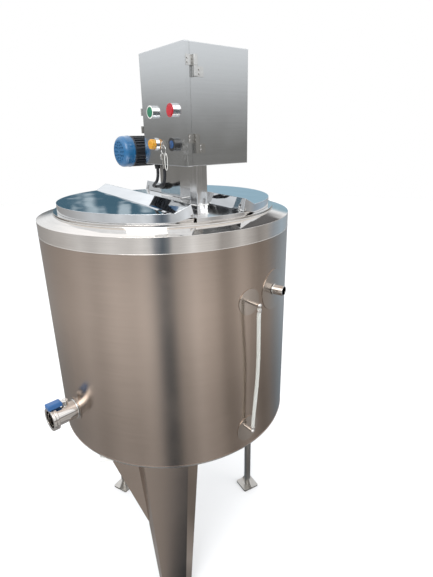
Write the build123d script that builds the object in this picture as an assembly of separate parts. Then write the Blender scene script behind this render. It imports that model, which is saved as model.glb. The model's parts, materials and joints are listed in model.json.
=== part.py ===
from build123d import *
import math
import os

# Jacketed bulk milk tank: an insulated round vat on three legs, with a fixed bridge across its
# mouth, two hinged half lids, a worm-geared agitator and a control box on a post.
# Frame: origin on the vat's axis at floor level, +Z up, -X the side that the control door faces.
# Angles round the vat run from -Y towards +X.

# ---- vat -------------------------------------------------------------------------------------
leg_height = 550.0            # floor to the underside of the vat
vat_height = 622.0            # underside to the top edge of the cladding
vat_radius = 350.0
sheet = 1.5                   # cladding, shoulder, bridge and box sheet
band_height = 38.0            # polished band above the cladding's seam
shoulder_rise = 11.0
corner_radius = 10.0          # rolled lower corner of the base pan
neck_radius = 306.0           # outside of the neck collar
neck_rise = 17.5              # ledge that the lids rest on, above the cladding edge
upstand_rise = 24.0
vessel_radius = 290.0         # inside of the inner vessel
vessel_wall = 2.0
vessel_floor_rise = 95.0      # vat's underside to the inside of the vessel's floor
jacket_radius = 314.0
jacket_wall = 2.0
jacket_rise = 48.0            # vat's underside to the jacket's floor
jacket_drop = 74.0            # top edge of the cladding to the jacket's top
seat_gap = 0.2                # between foam and sheet

rim = leg_height + vat_height
vessel_floor = leg_height + vessel_floor_rise
jacket_bottom = leg_height + jacket_rise
jacket_top = rim - jacket_drop

# ---- legs: a folded front leg with a gusset, and two tubes behind -----------------------------
front_leg_angle = -39.0
rear_leg_angles = (81.0, 201.0)
leg_face_radius = 300.0       # vat axis to the face of the front leg
leg_depth = 28.0
leg_sheet = 3.0
leg_top_front = 126.0
leg_top_back = 180.0
leg_bottom_front = 68.0
leg_bottom_back = 98.0
gusset_reach = 80.0
gusset_drop = 265.0
tube_leg_station = 296.0      # vat axis to a rear leg's axis
tube_leg_radius = 12.5
tube_leg_wall = 2.0
rib_reach = 20.0              # rear leg's foot ribs, beyond the tube
rib_height = 30.0
foot_thickness = 6.0
foot_side_lap = 3.0           # front foot plate beyond the leg, across it
foot_end_lap = 12.0
foot_corner = 6.0

# ---- jacket drain, under the vat --------------------------------------------------------------
drain_angle = -61.0
drain_station = 306.0         # vat axis to the drain's upright
drain_drop = 17.0             # vat's underside to the drain's axis
drain_height = leg_height - drain_drop
drain_tip_angle = -71.6
drain_tip_station = 342.5
drain_radius = 6.0
drain_bore = 4.0
drain_cap_radius = 8.5
drain_cap_length = 42.0

# ---- bridge and lids -------------------------------------------------------------------------
bridge_turn = -5.6            # bridge and lids, turned from the control box
bridge_half_width = 66.0
bridge_rise = 27.0            # top of the bridge above the cladding edge
bridge_radius = 301.0
bridge_skirt = 30.0
lid_radius = 295.0
lid_sheet = 1.2
lid_chord = 68.0              # vat axis to the foot of a lid's chord wall
lid_crest = 75.0
lid_crest_rise = 57.0
lid_slope_foot = 112.0
lid_top_rise = 39.0
lid_wall_foot_rise = 27.5
lid_seat_gap = 0.3
lid_pivot = 74.0
lid_pivot_rise = 32.0
lid_pin_radius = 2.5
lid_pin_clearance = 0.3
lug_half_width = 8.0
lug_thickness = 6.0
lug_station = 269.0           # vat axis to the lug along the bridge

# ---- agitator drive --------------------------------------------------------------------------
agitator_x = 30.0
agitator_y = 18.0
shaft_radius = 10.0
running_gap = 0.05
stool_x = (14.0, 48.0)
stool_y = (-60.0, 42.0)
stool_sheet = 2.0
stool_plate = 4.0
box_rise = 134.0              # underside of the control box and gearbox above the cladding edge
gearbox_height = 58.0
gearbox_half = 38.0
gearbox_wall = 7.0
gearbox_tail = 27.0           # housing beyond the worm axis
bearing_radius = 18.0
worm_bearing_radius = 13.0
worm_shaft_radius = 6.0
wheel_radius = 20.0
worm_radius = 9.2
mesh_gap = 0.8
cover_radius = 30.0
cover_thickness = 6.0
motor_radius = 40.0
motor_flange = 6.0
motor_length = 63.0
cowl_length = 30.0
cowl_sheet = 1.5
agitator_foot_gap = 22.0      # shaft end above the vessel floor
paddle_radius = 150.0
paddle_height = 60.0

# ---- control box -----------------------------------------------------------------------------
post_x = -15.0
post_y = -186.0
post_side = 32.0
post_wall = 2.0
box_x = (-55.0, 114.0)
box_y = (-222.0, -28.0)
box_height = 255.0
door_front = -68.0
door_depth = 12.0
door_lap = 1.0                # door edge beyond the box on each side
return_lip = 12.0
gasket_width = 8.0
hinge_x = -46.0
hinge_out = 8.0               # hinge axis beyond the box side
hinge_knuckle = 5.5
hinge_pin = 3.0
hinge_length = 42.0
hinge_rises = (183.5, 342.5)
button_rises = (182.0, 256.0)
button_ys = (-80.0, -170.0)
button_barrel = 11.0
bezel_radius = 15.0
bezel_height = 10.0
bezel_seat = 2.0              # floor of a bezel's well, in front of the door
cap_radius = 11.6
cap_proud = 2.0
cap_clearance = 0.3
button_travel = 3.0
key_reach = 29.0              # door skin to the centre of the key's bow
key_bow = 9.0
ring_radius = 9.5
ring_wire = 0.7
latches = (("lower", 217.0, 14.0), ("upper", 260.0, 42.0))   # name, rise, released angle
latch_x = -36.0
keeper_x = (-62.0, -58.0)

# ---- outlet and side fittings ----------------------------------------------------------------
outlet_angle = -84.6
outlet_radius = 25.4
outlet_wall = 1.6
outlet_length = 57.0          # cladding to the end of the outlet tube
ferrule_radius = 32.0
ferrule_thickness = 15.0
ferrule_step = 0.4            # ferrule bore larger than the tube's
valve_station = 26.0          # cladding to the valve stem
boss_clearance = 1.4          # valve boss above the ferrule's edge, which the grip passes over
inlet_angle = 18.0
inlet_rise = -178.0
inlet_radius = 12.7
inlet_wall = 1.6
inlet_length = 31.0
inlet_step = 0.2              # thinner where it crosses the jacket and foam
gauge_angle = 1.5
gauge_top_rise = -183.0
gauge_low_rise = -556.0
gauge_top_length = 34.0
gauge_low_length = 18.0
gauge_radius = 5.0
gauge_wall = 1.0
gauge_tube_radius = 5.0
gauge_tube_wall = 1.5
gauge_tube_bow = 9.0          # sideways, at the middle
gauge_tube_straight = 28.0    # straight length over each barb

os.makedirs("parts", exist_ok=True)


def save(name, shape):
    export_step(shape, "parts/" + name + ".step")


def block(x, y, z):
    """A box from its low and high corner on each axis."""
    size = [high - low for low, high in (x, y, z)]
    middle = [(high + low) / 2 for low, high in (x, y, z)]
    return Pos(*middle) * Box(*size)


def rod(start, end, radius):
    """A round bar between two points."""
    start, end = Vector(*start), Vector(*end)
    line = end - start
    bar = Cylinder(radius, line.length, align=(Align.CENTER, Align.CENTER, Align.MIN))
    return Plane(origin=start, z_dir=line).location * bar


def pipe(start, end, outer, inner):
    return rod(start, end, outer) - rod(start, end, inner)


def spun(points):
    """A solid turned about the vat's axis from (radius, height) points."""
    return revolve(Plane.XZ * make_face(Polyline(*points, close=True)), Axis.Z)


def around(angle, radius, height):
    """A point at an angle round the vat."""
    turn = math.radians(angle)
    return (radius * math.sin(turn), -radius * math.cos(turn), height)


def turned(shape, angle):
    return Rot(0, 0, angle) * shape


def group(shapes):
    return Compound(children=[piece for shape in shapes for piece in shape.solids()])


# ---- side fittings' axes, used by every shell that they pass through --------------------------
outlet_height = vessel_floor + outlet_radius - outlet_wall
inlet_height = rim + inlet_rise
gauge_top_height = rim + gauge_top_rise
gauge_low_height = rim + gauge_low_rise


def side_holes(clearance):
    """Bars along the outlet, the water inlet and the two gauge nipples."""
    reach = vat_radius + 20
    return [
        rod(around(outlet_angle, vessel_radius - 10, outlet_height),
            around(outlet_angle, reach, outlet_height), outlet_radius + clearance),
        rod(around(inlet_angle, jacket_radius - 10, inlet_height),
            around(inlet_angle, reach, inlet_height), inlet_radius - inlet_step + clearance),
        rod(around(gauge_angle, jacket_radius - 10, gauge_top_height),
            around(gauge_angle, reach, gauge_top_height), gauge_radius + clearance),
        rod(around(gauge_angle, jacket_radius - 10, gauge_low_height),
            around(gauge_angle, reach, gauge_low_height), gauge_radius + clearance),
    ]


def drilled(shape, clearance):
    for bar in side_holes(clearance):
        shape -= bar
    return shape


# ---- jacket drain ----------------------------------------------------------------------------
def drain_upright(radius):
    return rod(around(drain_angle, drain_station, drain_height),
               around(drain_angle, drain_station, jacket_bottom), radius)


def make_drain():
    """A stub from the jacket's floor that turns out to a cap."""
    corner = Vector(*around(drain_angle, drain_station, drain_height))
    tip = Vector(*around(drain_tip_angle, drain_tip_station, drain_height))
    cap_foot = tip - (tip - corner).normalized() * drain_cap_length
    drain = drain_upright(drain_radius) + Pos(*corner) * Sphere(drain_radius)
    drain += rod(tuple(corner), tuple(tip), drain_radius)
    drain -= drain_upright(drain_bore)
    drain += rod(tuple(cap_foot), tuple(tip), drain_cap_radius)
    save("jacket_drain", drain)


# ---- vat shells ------------------------------------------------------------------------------
def make_vat():
    seam = rim - band_height
    pan_top = leg_height + corner_radius
    cladding = Pos(0, 0, pan_top) * (
        Cylinder(vat_radius, seam - pan_top, align=(Align.CENTER, Align.CENTER, Align.MIN))
        - Cylinder(vat_radius - sheet, seam - pan_top, align=(Align.CENTER, Align.CENTER, Align.MIN)))
    save("outer_cladding", drilled(cladding, 0.3))

    pan = Pos(0, 0, leg_height) * Cylinder(vat_radius, corner_radius,
                                           align=(Align.CENTER, Align.CENTER, Align.MIN))
    pan = fillet(pan.edges().sort_by(Axis.Z)[:1], corner_radius - 1)
    hollow = Pos(0, 0, leg_height + sheet) * Cylinder(
        vat_radius - sheet, corner_radius, align=(Align.CENTER, Align.CENTER, Align.MIN))
    hollow = fillet(hollow.edges().sort_by(Axis.Z)[:1], corner_radius - 1 - sheet)
    save("base_pan", pan - hollow - drain_upright(drain_radius + 0.3))

    vessel_top = rim + neck_rise - sheet
    wall = vessel_radius + vessel_wall
    vessel = spun([(0, vessel_floor - vessel_wall), (wall, vessel_floor - vessel_wall),
                   (wall, vessel_top), (vessel_radius, vessel_top),
                   (vessel_radius, vessel_floor), (0, vessel_floor)])
    port = rod(around(outlet_angle, vessel_radius - 2, outlet_height),
               around(outlet_angle, vessel_radius + 20, outlet_height), outlet_radius)
    save("inner_vessel", vessel - port)

    inside = jacket_radius - jacket_wall
    jacket = spun([(0, jacket_bottom), (jacket_radius, jacket_bottom), (jacket_radius, jacket_top),
                   (wall + 0.2, jacket_top), (wall + 0.2, jacket_top - jacket_wall),
                   (inside, jacket_top - jacket_wall), (inside, jacket_bottom + jacket_wall),
                   (0, jacket_bottom + jacket_wall)])
    drain_way = Pos(0, 0, jacket_wall + 1) * drain_upright(drain_bore)
    save("jacket_shell", drilled(jacket, 0) - drain_way)

    foam_in = jacket_radius + seat_gap
    foam_out = vat_radius - sheet - seat_gap
    foam_low = leg_height + sheet + seat_gap
    foam = spun([(0, foam_low), (foam_out - corner_radius, foam_low),
                 (foam_out, foam_low + corner_radius), (foam_out, seam - seat_gap),
                 (foam_in, seam - seat_gap), (foam_in, jacket_bottom - seat_gap),
                 (0, jacket_bottom - seat_gap)])
    save("insulation", drilled(foam, 0.3) - drain_upright(drain_radius + 0.3))

    shoulder = spun([(vat_radius, seam), (vat_radius, rim), (neck_radius, rim + shoulder_rise),
                     (neck_radius, rim + shoulder_rise - sheet), (vat_radius - sheet, rim - sheet),
                     (vat_radius - sheet, seam)])
    save("top_shoulder", shoulder)

    lip = vessel_radius - 2
    collar = spun([(lip - sheet, rim + neck_rise - sheet), (neck_radius - sheet, rim + neck_rise - sheet),
                   (neck_radius - sheet, rim + 2), (neck_radius, rim + 2),
                   (neck_radius, rim + neck_rise), (lip, rim + neck_rise),
                   (lip, rim + upstand_rise), (lip - sheet, rim + upstand_rise)])
    save("neck_collar", collar)


# ---- legs ------------------------------------------------------------------------------------
def leg_section(front, back, height):
    """A folded channel open towards the vat's axis, for a leg at -Y."""
    face, rear = -leg_face_radius, -leg_face_radius + leg_depth
    inner_front, inner_back = front / 2 - leg_sheet * 0.6, back / 2 - leg_sheet * 1.2
    points = [(-back / 2, rear), (-front / 2, face), (front / 2, face), (back / 2, rear),
              (inner_back, rear), (inner_front, face + leg_sheet),
              (-inner_front, face + leg_sheet), (-inner_back, rear)]
    return Pos(0, 0, height) * make_face(Polyline(*points, close=True))


def make_front_leg():
    low, high = foot_thickness, leg_height
    channel = loft([leg_section(leg_bottom_front, leg_bottom_back, low),
                    leg_section(leg_top_front, leg_top_back, high)], ruled=True)
    rear = -leg_face_radius + leg_depth
    drop_share = gusset_drop / (high - low)
    edge_low = leg_top_back / 2 - (leg_top_back - leg_bottom_back) / 2 * drop_share
    gusset_face = Plane.XZ * make_face(Polyline(
        (leg_sheet - leg_top_back / 2, high), (-leg_top_back / 2 - gusset_reach, high),
        (-edge_low, high - gusset_drop), (leg_sheet - edge_low, high - gusset_drop), close=True))
    gusset = Pos(0, rear - leg_sheet, 0) * extrude(gusset_face, -leg_sheet)
    save("front_leg", turned(channel + gusset, front_leg_angle))


def make_rear_legs():
    low = foot_thickness
    axis = (0, -tube_leg_station)
    leg = rod((*axis, low), (*axis, leg_height), tube_leg_radius)
    reach = tube_leg_radius + rib_reach
    rib = Plane.XZ * make_face(Polyline(
        (-reach, low), (reach, low), (reach, low + leg_sheet), (tube_leg_radius, low + rib_height),
        (-tube_leg_radius, low + rib_height), (-reach, low + leg_sheet), close=True))
    leg += Pos(0, -tube_leg_station, 0) * extrude(rib, leg_sheet / 2, both=True)
    leg -= rod((*axis, low), (*axis, leg_height), tube_leg_radius - tube_leg_wall)
    save("rear_legs", group([turned(leg, angle) for angle in rear_leg_angles]))


def foot_plate(station, half_width, half_length):
    plate = block((-half_width, half_width), (-station - half_length, -station + half_length),
                  (0, foot_thickness))
    return fillet(plate.edges().filter_by(Axis.Z), foot_corner)


def make_feet():
    front = foot_plate(leg_face_radius - leg_depth / 2, leg_bottom_back / 2 + foot_side_lap,
                       leg_depth / 2 + foot_end_lap)
    half = tube_leg_radius + rib_reach
    rear = foot_plate(tube_leg_station, half, half)
    plates = [turned(rear, angle) for angle in rear_leg_angles]
    save("foot_plates", group([turned(front, front_leg_angle), *plates]))


# ---- bridge and lids -------------------------------------------------------------------------
def lug_stations():
    return [(side, end) for side in (-1, 1) for end in (-1, 1)]


def make_bridge():
    top = rim + bridge_rise
    under = top - sheet
    half = bridge_half_width
    disc = Pos(0, 0, under) * Cylinder(bridge_radius, sheet, align=(Align.CENTER, Align.CENTER, Align.MIN))
    bridge = disc & block((-half, half), (-bridge_radius, bridge_radius), (under, top))
    apron = spun([(bridge_radius - sheet, rim + neck_rise), (bridge_radius, rim + neck_rise),
                  (bridge_radius, top), (bridge_radius - sheet, top)])
    bridge += apron & block((-half, half), (-vat_radius, vat_radius), (rim, top))
    reach = lug_station + lug_thickness / 2 + 1
    for side in (-1, 1):
        edge = sorted((side * (half - sheet), side * half))
        bridge += block(edge, (-reach, reach), (top - bridge_skirt, under))
    pivot = rim + lid_pivot_rise
    for side, end in lug_stations():
        x = sorted((side * (half - sheet), side * (lid_pivot + lug_half_width - 2)))
        y = sorted((end * (lug_station - lug_thickness / 2), end * (lug_station + lug_thickness / 2)))
        lug = block(x, y, (top - bridge_skirt + 6, under))
        ear = sorted((side * (lid_pivot - lug_half_width + 2), side * (lid_pivot + lug_half_width - 2)))
        lug += block(ear, y, (under - 2, pivot + lug_half_width - 2))
        bridge += lug
    for side, end in lug_stations():
        y = end * lug_station
        bridge -= rod((side * lid_pivot, y - lug_thickness, pivot),
                      (side * lid_pivot, y + lug_thickness, pivot), lid_pin_radius)
    bridge = turned(bridge, bridge_turn)
    bridge -= Pos(agitator_x, agitator_y, top) * Cylinder(shaft_radius + 3, 60)
    save("bridge", bridge)

    pins = []
    for side, end in lug_stations():
        start = end * (lug_station - lug_thickness / 2)
        finish = end * (math.sqrt(lid_radius**2 - lid_pivot**2) + 1)
        pins.append(rod((side * lid_pivot, start, pivot), (side * lid_pivot, finish, pivot), lid_pin_radius))
    save("lid_hinge_pins", turned(group(pins), bridge_turn))


def make_lids():
    lean = (lid_crest - lid_chord) / (lid_crest_rise - lid_wall_foot_rise)
    far = lid_radius + 20
    top = rim + lid_top_rise
    outline = make_face(Polyline(
        (lid_crest - lean * lid_crest_rise, rim), (lid_crest, rim + lid_crest_rise),
        (lid_slope_foot, top), (far, top), (far, rim), close=True))
    hollow = offset(outline, amount=-lid_sheet, kind=Kind.INTERSECTION)
    length = 2 * vat_radius
    lid = Pos(0, vat_radius, 0) * extrude(Plane.XZ * outline, length)
    lid &= Pos(0, 0, rim) * Cylinder(lid_radius, 200)
    core = Pos(0, vat_radius, 0) * extrude(Plane.XZ * hollow, length)
    lid -= core & (Pos(0, 0, rim) * Cylinder(lid_radius - lid_sheet, 200))
    floor = rim + neck_rise + lid_seat_gap
    foot = rim + lid_wall_foot_rise
    below = make_face(Polyline((0, rim - 5), (0, foot), (lid_chord + 10, foot), (lid_slope_foot, floor),
                               (far + 5, floor), (far + 5, rim - 5), close=True))
    lid -= Pos(0, vat_radius, 0) * extrude(Plane.XZ * below, length)
    pivot = rim + lid_pivot_rise
    for end in (-1, 1):
        y = sorted((end * (lug_station - lug_thickness / 2 - 1), end * (lug_station + lug_thickness / 2 + 1)))
        lid -= block((lid_chord - 2, lid_pivot + lug_half_width), y, (rim, pivot + lug_half_width + 1))
        lid -= rod((lid_pivot, end * lug_station, pivot), (lid_pivot, end * lid_radius, pivot),
                   lid_pin_radius + lid_pin_clearance)
    save("lid_right", turned(lid, bridge_turn))
    save("lid_left", turned(mirror(lid, Plane.YZ), bridge_turn))


# ---- agitator drive --------------------------------------------------------------------------
base = rim + box_rise
worm_y = agitator_y + wheel_radius + worm_radius + mesh_gap
worm_z = base + gearbox_height / 2
housing_x = (agitator_x - gearbox_half, agitator_x + gearbox_half)
housing_y = (agitator_y - gearbox_half, worm_y + gearbox_tail)


def make_stool():
    foot = rim + bridge_rise
    plate = base - stool_plate
    stool = block(stool_x, stool_y, (foot, plate)) - block(
        (stool_x[0] + stool_sheet, stool_x[1] - stool_sheet),
        (stool_y[0] + stool_sheet, stool_y[1] - stool_sheet), (foot, plate))
    stool += block((housing_x[0] + 6, housing_x[1] - 6), (stool_y[0], housing_y[1]), (plate, base))
    stool -= Pos(agitator_x, agitator_y, base) * Cylinder(shaft_radius + 3, 60)
    for _, entry in cable_ends:
        stool -= rod((stool_x[0] - 1, entry[1], entry[2]), (stool_x[0] + 4, entry[1], entry[2]),
                     gland_thread)
    save("gearbox_stool", stool)


def make_gearbox():
    top = base + gearbox_height
    wall = gearbox_wall
    housing = block(housing_x, housing_y, (base, top))
    housing = fillet(housing.edges().filter_by(Axis.Z), 10)
    housing -= block((housing_x[0] + wall, housing_x[1] - wall), (housing_y[0] + wall, housing_y[1] - wall),
                     (base + wall, top - wall))
    axis = (agitator_x, agitator_y)
    housing -= rod((*axis, base - 1), (*axis, top + 1), bearing_radius)
    housing -= rod((*axis, top - wall - 1), (*axis, top + 1), wheel_radius + 1)
    housing -= rod((housing_x[0] - 1, worm_y, worm_z), (housing_x[1] - 0.5 * wall, worm_y, worm_z),
                   worm_bearing_radius)
    screw_circle = cover_radius - 4.5
    screws = []
    holes = []
    for turn in range(6):
        angle = math.radians(60 * turn + 30)
        x = agitator_x + screw_circle * math.cos(angle)
        y = agitator_y + screw_circle * math.sin(angle)
        holes.append(rod((x, y, top - 5), (x, y, top + cover_thickness + 1), 2.0))
        head = Pos(x, y, top + cover_thickness + 1.5) * Cylinder(3.5, 3)
        head -= Pos(x, y, top + cover_thickness + 3) * extrude(RegularPolygon(1.6, 6), 1.6, both=True)
        screws.append(head + rod((x, y, top - 5), (x, y, top + cover_thickness + 0.5), 2.0))
    cover = rod((*axis, top), (*axis, top + cover_thickness), cover_radius)
    cover = fillet(cover.edges().sort_by(Axis.Z)[-1:], 1.5)
    cover += rod((*axis, top - 5), (*axis, top + 1), wheel_radius + 0.9)
    cover -= rod((*axis, top - 6), (*axis, top + 2), bearing_radius)
    for hole in holes:
        housing -= hole
        cover -= hole
    save("gearbox_housing", housing)
    save("gearbox_cover", cover)
    save("gearbox_screws", group(screws))

    hub = shaft_radius + 4
    seat = running_gap
    bearings = [pipe((*axis, base), (*axis, base + wall), bearing_radius, hub + seat),
                pipe((*axis, top - 5), (*axis, top + 2), bearing_radius, hub + seat)]
    for x in (housing_x[0], housing_x[1] - wall):
        bearings.append(pipe((x, worm_y, worm_z), (x + 0.5 * wall, worm_y, worm_z),
                             worm_bearing_radius, worm_shaft_radius + seat))
    save("gearbox_bearings", group(bearings))

    wheel = rod((*axis, base + 0.5), (*axis, top + 1), hub)
    rim_height = 16
    wheel += rod((*axis, worm_z - rim_height / 2), (*axis, worm_z + rim_height / 2), wheel_radius)
    teeth = 30
    for tooth in range(teeth):
        angle = 2 * math.pi * tooth / teeth
        x = agitator_x + (wheel_radius + 0.3) * math.cos(angle)
        y = agitator_y + (wheel_radius + 0.3) * math.sin(angle)
        wheel -= Pos(x, y, worm_z) * Cylinder(1.0, rim_height + 2)
    wheel -= rod((*axis, base - 1), (*axis, top + 2), shaft_radius)
    save("worm_wheel", wheel)

    worm_length = 40
    worm_core = worm_radius - 2
    worm = rod((agitator_x - worm_length / 2, worm_y, worm_z),
               (agitator_x + worm_length / 2, worm_y, worm_z), worm_core)
    pitch = 4.2
    count = int((worm_length - 4) / pitch)
    for ring in range(count):
        x = agitator_x + (ring - (count - 1) / 2) * pitch
        worm += Pos(x, worm_y, worm_z) * Rot(0, 90, 0) * Cylinder(worm_radius, 2)
    worm -= rod((agitator_x - worm_length, worm_y, worm_z), (agitator_x + worm_length, worm_y, worm_z),
                worm_shaft_radius)
    save("worm", worm)


def make_motor():
    face = housing_x[0]
    body_front = face - motor_flange
    body_back = body_front - motor_length
    cowl_end = body_back - cowl_length
    at = lambda x: (x, worm_y, worm_z)
    core = motor_radius - 4
    body = rod(at(body_back), at(body_front), core)
    fins = 28
    for fin in range(fins):
        rib = Pos(0, core + 1.5, 0) * Box(motor_length, 5, 2.2)
        place = Pos(body_back + motor_length / 2, worm_y, worm_z) * Rot(360 * fin / fins, 0, 0)
        body += place * rib
    body += rod(at(body_front), at(face), motor_radius)
    body += rod(at(body_back), at(body_back + 5), motor_radius - 0.5)
    body -= rod(at(body_back + 5), at(body_front - 5), core - 6)
    body -= rod(at(body_back - 1), at(face + 1), worm_shaft_radius + 0.5)
    save("motor_body", body)

    rotor = rod(at(body_back + 10), at(body_front - 10), core - 6.5)
    rotor += rod(at(cowl_end + 7), at(housing_x[1] - 0.5 * gearbox_wall - 1), worm_shaft_radius)
    save("motor_rotor", rotor)

    fan_back, fan_front = cowl_end + 8, cowl_end + 20
    fan = pipe(at(fan_back), at(fan_front), worm_shaft_radius + 5, worm_shaft_radius)
    fan += pipe(at(fan_front - 3), at(fan_front), core - 4, worm_shaft_radius + 4)
    for blade in range(8):
        vane = Pos(0, (core + worm_shaft_radius) / 2, 0) * Box(
            fan_front - fan_back, core - worm_shaft_radius - 8, 2)
        fan += Pos((fan_front + fan_back) / 2, worm_y, worm_z) * Rot(45 * blade, 0, 0) * vane
    save("cooling_fan", fan)

    cowl = rod(at(cowl_end), at(body_back), motor_radius)
    cowl = fillet(cowl.edges().sort_by(Axis.X)[:1], 12)
    hollow = rod(at(cowl_end + cowl_sheet), at(body_back), motor_radius - cowl_sheet)
    hollow = fillet(hollow.edges().sort_by(Axis.X)[:1], 12 - cowl_sheet)
    cowl -= hollow
    for ring_radius, count in ((10, 6), (17, 10), (24, 14)):
        for slot in range(count):
            angle = 2 * math.pi * slot / count
            centre = (worm_y + ring_radius * math.cos(angle), worm_z + ring_radius * math.sin(angle))
            cowl -= rod((cowl_end - 1, *centre), (cowl_end + 4, *centre), 2.2)
    save("fan_cowl", cowl)


def make_agitator():
    axis = (agitator_x, agitator_y)
    foot = vessel_floor + agitator_foot_gap
    top = base + gearbox_height + 1
    shaft = rod((*axis, foot), (*axis, top), shaft_radius)
    save("agitator_shaft", chamfer(shaft.edges().filter_by(GeomType.CIRCLE), 1))
    hub_low, hub_high = foot + 10, foot + 10 + paddle_height
    hub_radius = shaft_radius + 8
    paddle = rod((*axis, hub_low), (*axis, hub_high), hub_radius)
    for side in (-1, 1):
        blade = Pos(side * (paddle_radius + hub_radius - 4) / 2, 0, 0) * Rot(side * 35, 0, 0) * Box(
            paddle_radius - hub_radius + 4, 4, paddle_height)
        paddle += Pos(agitator_x, agitator_y, (hub_low + hub_high) / 2) * blade
    paddle -= rod((*axis, hub_low - 1), (*axis, hub_high + 1), shaft_radius)
    save("agitator_paddle", paddle)


# ---- control box -----------------------------------------------------------------------------
box_z = (base, base + box_height)
door_y = (box_y[0] - door_lap, box_y[1] + door_lap)
door_z = (box_z[0] - door_lap, box_z[1] + door_lap)
hinge_y = box_y[0] - hinge_out
gland_thread = 6.0
cable_radius = 4.0
cable_ends = [((-43.0, -42.0, base), (stool_x[0], 26.0, rim + 65.0)),
              ((-38.0, -68.0, base), (stool_x[0], 4.0, rim + 67.0))]
cable_drops = (42.0, 56.0)


def button_places():
    """Green start, red stop, amber lamp and key switch, as (y, z) on the door."""
    low, high = (rim + rise for rise in button_rises)
    left, right = button_ys
    return [(left, high), (right, high), (left, low), (right, low)]


def make_post():
    side, wall = post_side / 2, post_side / 2 - post_wall
    z = (rim + bridge_rise, base)
    post = block((post_x - side, post_x + side), (post_y - side, post_y + side), z)
    post = fillet(post.edges().filter_by(Axis.Z), 3)
    post -= block((post_x - wall, post_x + wall), (post_y - wall, post_y + wall), z)
    save("control_post", post)


def make_box():
    shell = block(box_x, box_y, box_z)
    shell -= block((box_x[0] + sheet, box_x[1] - sheet), (box_y[0] + sheet, box_y[1] - sheet),
                   (box_z[0] + sheet, box_z[1] - sheet))
    shell -= block((box_x[0] - 1, box_x[0] + sheet + 1), (box_y[0] + return_lip, box_y[1] - return_lip),
                   (box_z[0] + return_lip, box_z[1] - return_lip))
    for exit_point, _ in cable_ends:
        shell -= Pos(exit_point[0], exit_point[1], base) * Cylinder(gland_thread, 10)
    save("control_box", shell)

    stand = 14.0
    plate_x = (box_x[1] - sheet - stand - 2, box_x[1] - sheet - stand)
    margin = 14.0
    plate = block(plate_x, (box_y[0] + margin, box_y[1] - margin), (box_z[0] + margin, box_z[1] - margin))
    for y in (box_y[0] + margin + 8, box_y[1] - margin - 8):
        for z in (box_z[0] + margin + 8, box_z[1] - margin - 8):
            plate += rod((plate_x[1], y, z), (box_x[1] - sheet, y, z), 4)
    save("mounting_plate", plate)

    front = plate_x[0]
    middle_y = (box_y[0] + box_y[1]) / 2
    contactor = block((front - 62, front), (middle_y - 62, middle_y - 17), (base + 130, base + 206))
    contactor -= block((front - 63, front - 48), (middle_y - 58, middle_y - 21), (base + 185, base + 207))
    contactor -= block((front - 63, front - 48), (middle_y - 58, middle_y - 21), (base + 129, base + 150))
    timer = block((front - 50, front), (middle_y + 10, middle_y + 55), (base + 130, base + 200))
    terminals = block((front - 34, front), (middle_y - 60, middle_y + 50), (base + 55, base + 92))
    for index in range(10):
        y = middle_y - 54.5 + 11 * index
        terminals -= rod((front - 36, y, base + 64), (front - 28, y, base + 64), 3)
        terminals -= rod((front - 36, y, base + 83), (front - 28, y, base + 83), 3)
    save("control_gear", group([contactor, timer, terminals]))


def make_door():
    x = (door_front, door_front + door_depth)
    door = block(x, door_y, door_z)
    door = fillet(door.edges().filter_by(Axis.X), 2)
    door -= block((x[0] + sheet, x[1]), (door_y[0] + sheet, door_y[1] - sheet),
                  (door_z[0] + sheet, door_z[1] - sheet))
    for y, z in button_places():
        door -= rod((x[0] - 1, y, z), (x[0] + sheet + 1, y, z), button_barrel)
    for _, rise, _ in latches:
        door += block(keeper_x, (door_y[1], door_y[1] + 4.5), (rim + rise - 7, rim + rise + 7))
    save("control_door", door)

    gap = 0.3
    low, high = door_y[0] + sheet + gap, door_y[1] - sheet - gap
    foot, head = door_z[0] + sheet + gap, door_z[1] - sheet - gap
    span = (x[0] + sheet, box_x[0] - gap)
    gasket = block(span, (low, high), (foot, head)) - block(
        span, (low + gasket_width, high - gasket_width), (foot + gasket_width, head - gasket_width))
    save("door_gasket", gasket)


def make_hinges():
    fixed, moving = [], []
    half = hinge_length / 2
    for rise in hinge_rises:
        z = rim + rise
        low, high = z - half, z + half
        axis_low, axis_high = (hinge_x, hinge_y, low), (hinge_x, hinge_y, high)
        split = (hinge_x, hinge_y, z)
        leaf = block((hinge_x - 2, hinge_x + 26), (box_y[0] - 2, box_y[0]), (low, z - 0.3))
        leaf += block((hinge_x - 2, hinge_x + 2), (hinge_y, box_y[0]), (low, z - 0.3))
        leaf += rod(axis_low, (hinge_x, hinge_y, z - 0.3), hinge_knuckle)
        leaf += rod(axis_low, (hinge_x, hinge_y, high - 4), hinge_pin)
        for screw_z in (low + 0.15 * hinge_length, low + 0.35 * hinge_length):
            leaf += rod((hinge_x + 15, box_y[0] - 4, screw_z), (hinge_x + 15, box_y[0] - 2, screw_z), 3)
        fixed.append(leaf)
        wing = block((door_front + 1, hinge_x + 2), (door_y[0] - 2, door_y[0]), (z + 0.3, high))
        wing += block((hinge_x - 2, hinge_x + 2), (hinge_y, door_y[0]), (z + 0.3, high))
        wing += rod((hinge_x, hinge_y, z + 0.3), axis_high, hinge_knuckle)
        wing -= rod(split, (hinge_x, hinge_y, high - 3.5), hinge_pin + running_gap)
        for screw_z in (z + 0.15 * hinge_length, z + 0.35 * hinge_length):
            wing += rod((door_front + 6, door_y[0] - 4, screw_z), (door_front + 6, door_y[0] - 2, screw_z), 3)
        moving.append(wing)
    save("box_hinge_leaves", group(fixed))
    save("door_hinge_leaves", group(moving))


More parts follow.
